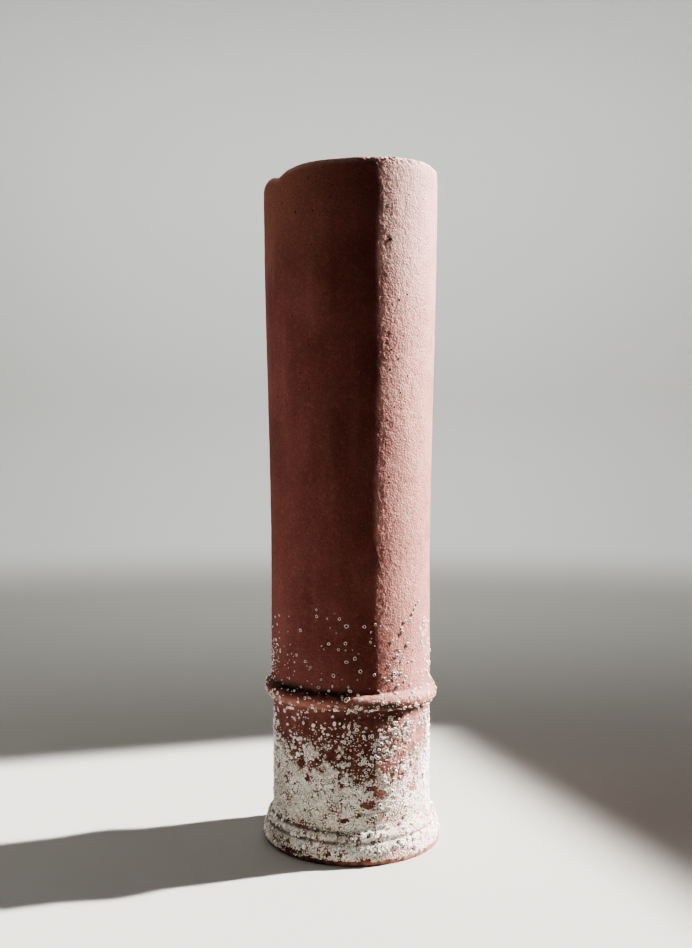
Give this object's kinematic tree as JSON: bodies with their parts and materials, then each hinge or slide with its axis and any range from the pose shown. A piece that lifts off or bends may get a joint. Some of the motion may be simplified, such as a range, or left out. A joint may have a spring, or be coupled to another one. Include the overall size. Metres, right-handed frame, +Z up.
{
  "type": "chimney pot",
  "caption": "Weathered terracotta chimney pot: an open tube with a moulded foot, a half-round band and a flared head whose worn rim slants.",
  "frame": {"origin": "on the plane that the pot stands on, at the middle of its foot", "axes": "+Z up along the flue, +X to the right and -Y to the front as pictured"},
  "size_m": [0.275, 0.275, 1.0355],
  "materials": {
    "terracotta": "unglazed fired clay, matt and gritty, dusty red, with a cream lime crust over the foot and lower barrel"
  },
  "bodies": {
    "root": {"pot": "terracotta"}
  },
  "joints": []
}
